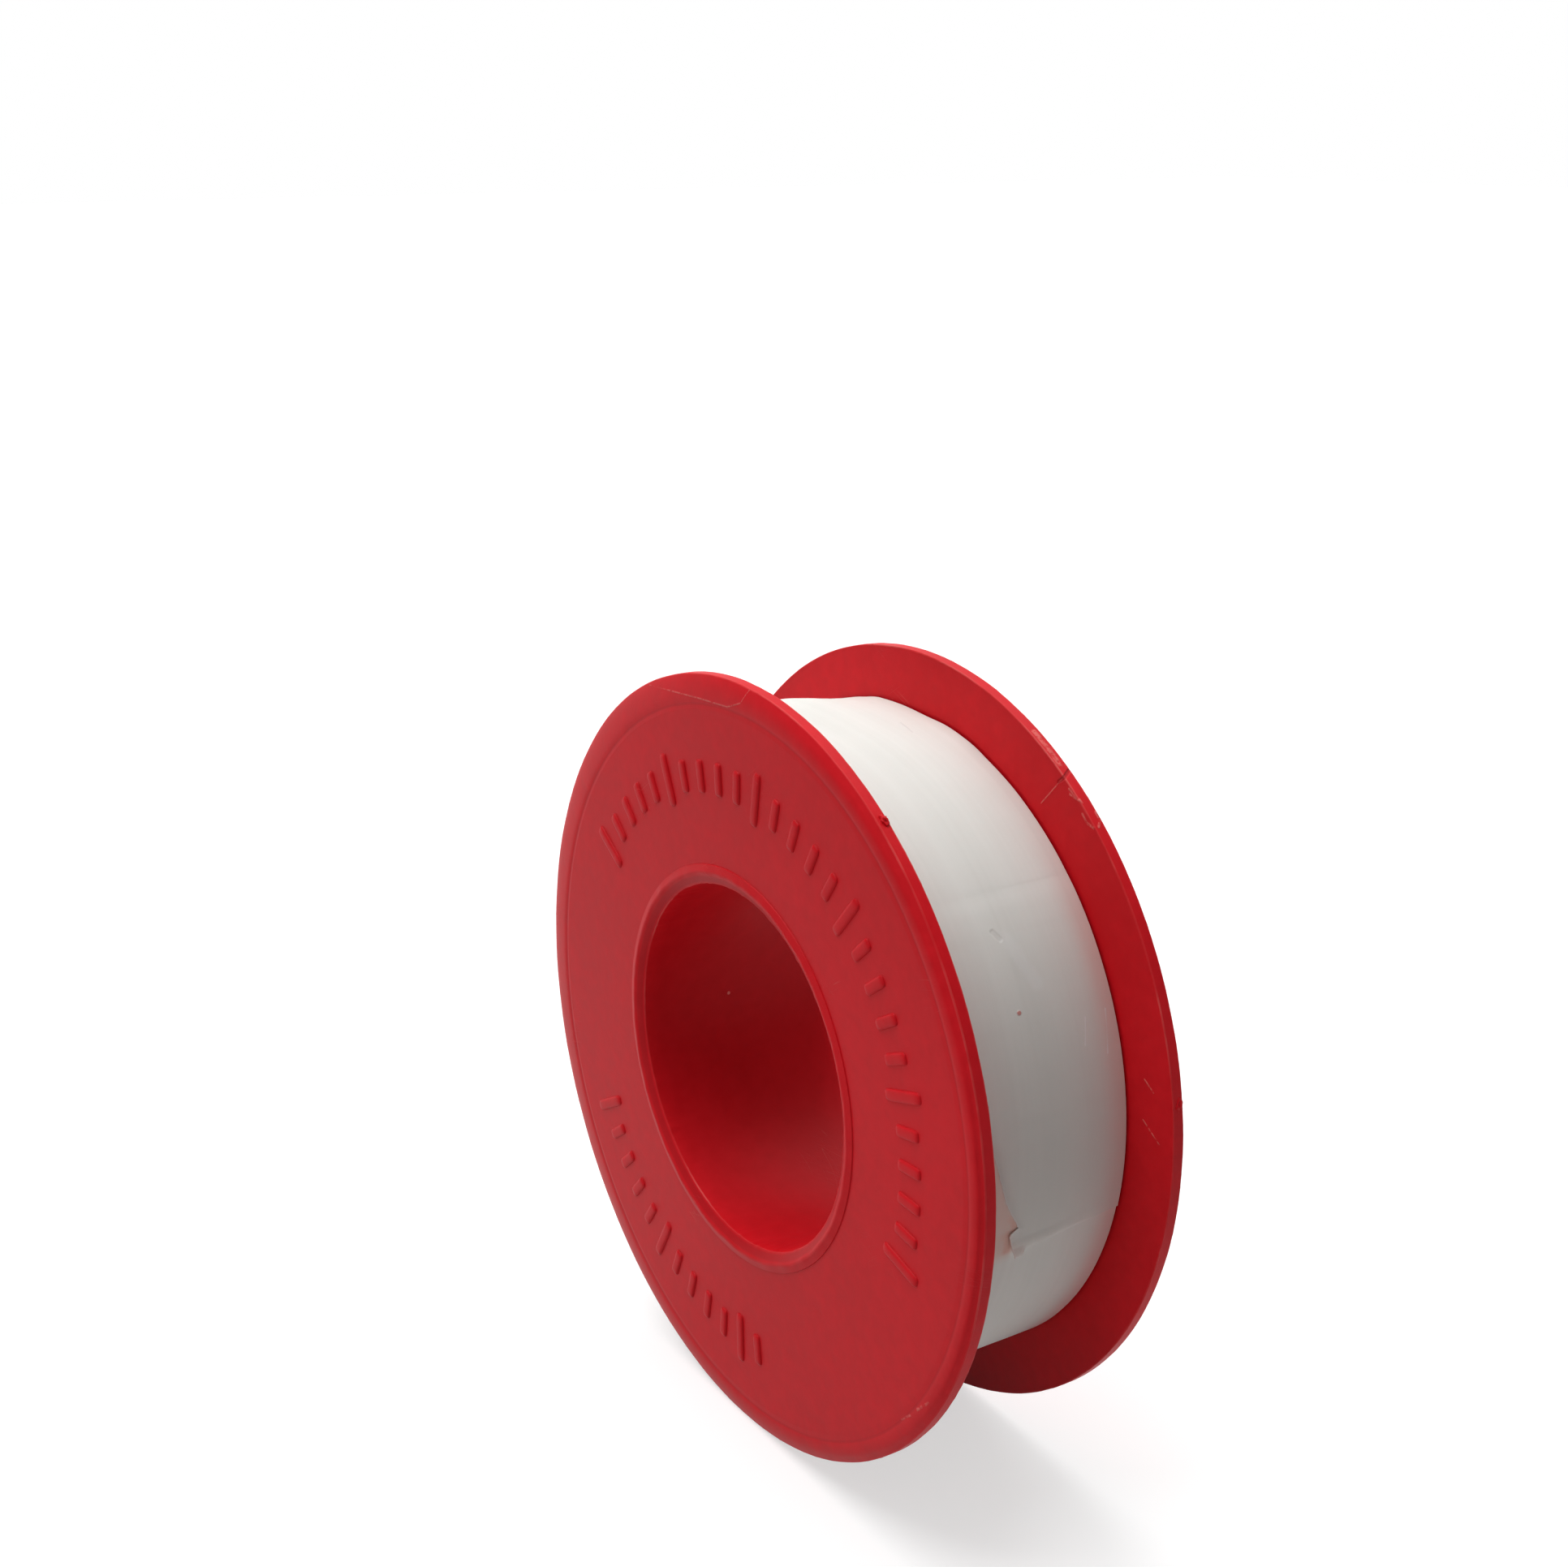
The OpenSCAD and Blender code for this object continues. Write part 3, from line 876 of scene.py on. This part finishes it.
# %% Rough stubs on the rims
def stub(name, degrees, y, size, seed, finish, sunk=0.15):
    """A rough lump that stands a little out of the rim's inner edge. size is (out, along, round), and
    sunk is how deep its middle lies under the rim."""
    ball = bmesh.new()
    bmesh.ops.create_icosphere(ball, subdivisions=4, radius=1.0)
    for v in ball.verts:
        rough = 1 + 0.45 * noise.noise(v.co * 2.3 + Vector((seed, 0, 0))) + 0.2 * noise.noise(v.co * 7)
        out, along, on = (rough * v.co[i] * size[i] for i in range(3))
        v.co = Vector(around(RIM - sunk + out, degrees + math.degrees(on / RIM), y + along)) * MM
    mesh = bpy.data.meshes.new(name)
    bmesh.ops.recalc_face_normals(ball, faces=ball.faces)
    ball.to_mesh(mesh)
    ball.free()
    smooth(mesh, 80)
    piece = show(mesh, finish)
    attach(piece, "spool")


stub("gate_stub_front", 54.6, -INNER - 0.25, (0.32, 0.30, 0.42), 1.0, FLANGE)
stub("gate_stub_rear", 8.8, INNER + 0.5, (0.22, 0.30, 0.5), 4.0, SPOOL)
print("gate stubs made")


# %% [markdown]
# ## Floor and light
# The roll stands on a plain white floor in a bright studio. Broad lamps hang over it, a little to the
# left, and leave the right side of the film in soft shade. A weak one stands in front and another
# behind. The floor looks white to the camera because it glows for camera rays and for mirrored rays
# only, so it keeps the shadow and puts no extra light on the roll.

# %% What the camera and the reflections see
def looked_at(board):
    """1 for rays that come from the camera, from a reflection or through something clear."""
    ray = board.add("ShaderNodeLightPath").outputs
    kinds = ("Is Camera Ray", "Is Glossy Ray", "Is Transmission Ray")
    camera_ray, glossy_ray, clear_ray = (Value(board, ray[kind]) for kind in kinds)
    return camera_ray.most(glossy_ray).most(clear_ray)


# %% The floor
def white_stage(name, shade, glow):
    """A matt surface of a grey shade that glows where it is looked at."""
    material = bpy.data.materials.new(name)
    material.use_nodes = True
    board = Board(material.node_tree)
    shader = material.node_tree.nodes["Principled BSDF"]
    shader.inputs["Base Color"].default_value = (shade, shade, shade, 1)
    shader.inputs["Roughness"].default_value = 0.9
    shader.inputs["Specular IOR Level"].default_value = 0.0
    inputs = {"Color": (1, 1, 1, 1), "Strength": looked_at(board) * glow}
    light = board.add("ShaderNodeEmission", None, inputs)
    both = board.add("ShaderNodeAddShader", None, [shader.outputs[0], light.outputs[0]])
    output = material.node_tree.nodes["Material Output"]
    board.tree.links.new(both.outputs[0], output.inputs["Surface"])
    return material


bpy.ops.mesh.primitive_plane_add(size=4.0, location=(0, 0, hub_low.z))
floor = bpy.context.object
floor.name = "studio_floor"
floor.data.materials.append(white_stage("studio_white", 0.5, 0.6))
print("floor at", round(hub_low.z / MM, 2), "mm")

# %% The world
world = bpy.data.worlds.new("studio_air")
bpy.context.scene.world = world
world.use_nodes = True
air = Board(world.node_tree)
backdrop = world.node_tree.nodes["Background"]
backdrop.inputs["Color"].default_value = (1, 1, 1, 1)
fill = 0.015
world.node_tree.links.new((looked_at(air) * (1 - fill) + fill).socket, backdrop.inputs["Strength"])
print("fill from all round", fill)


# %% The lamps
def broad_lamp(name, comes_from, level, width):
    """Soft light from far away. level 1 lights a white card that faces it to white, and width is how
    wide the lamp looks, in degrees."""
    lamp = bpy.data.lights.new(name, "SUN")
    lamp.energy = level * math.pi
    lamp.angle = math.radians(width)
    holder = bpy.data.objects.new(name, lamp)
    bpy.context.scene.collection.objects.link(holder)
    holder.location = Vector(comes_from) * 0.5
    holder.rotation_euler = (-Vector(comes_from)).to_track_quat("-Z", "Y").to_euler()


broad_lamp("lamp_overhead", (-0.25, -0.15, 0.955), 0.87, 50)
broad_lamp("lamp_back_high", (-0.25, 0.35, 0.9), 0.26, 50)
broad_lamp("lamp_front", (-0.05, -0.8, 0.6), 0.15, 60)
broad_lamp("lamp_behind", (-0.1, 0.9, 0.43), 0.15, 60)

# %% [markdown]
# ## Camera
# The photograph was taken from close by, a little above the roll and well to the right of its axle
# line. Its place and lens were worked out from the outlines of both flanges, the bore and the film.

# %% The camera
camera_data = bpy.data.cameras.new("camera")
camera_data.sensor_width = 36.0
camera_data.lens = 48.762
camera_data.clip_start = 0.005
camera_data.clip_end = 20.0
camera = bpy.data.objects.new("camera", camera_data)
bpy.context.scene.collection.objects.link(camera)
camera.location = Vector((105.891, -72.583, 58.546)) * MM
camera.rotation_euler = Vector((-0.79933, 0.51926, -0.30241)).to_track_quat("-Z", "Y").to_euler()
bpy.context.scene.camera = camera
bpy.context.scene.view_settings.view_transform = "Standard"
print("lens", camera_data.lens)
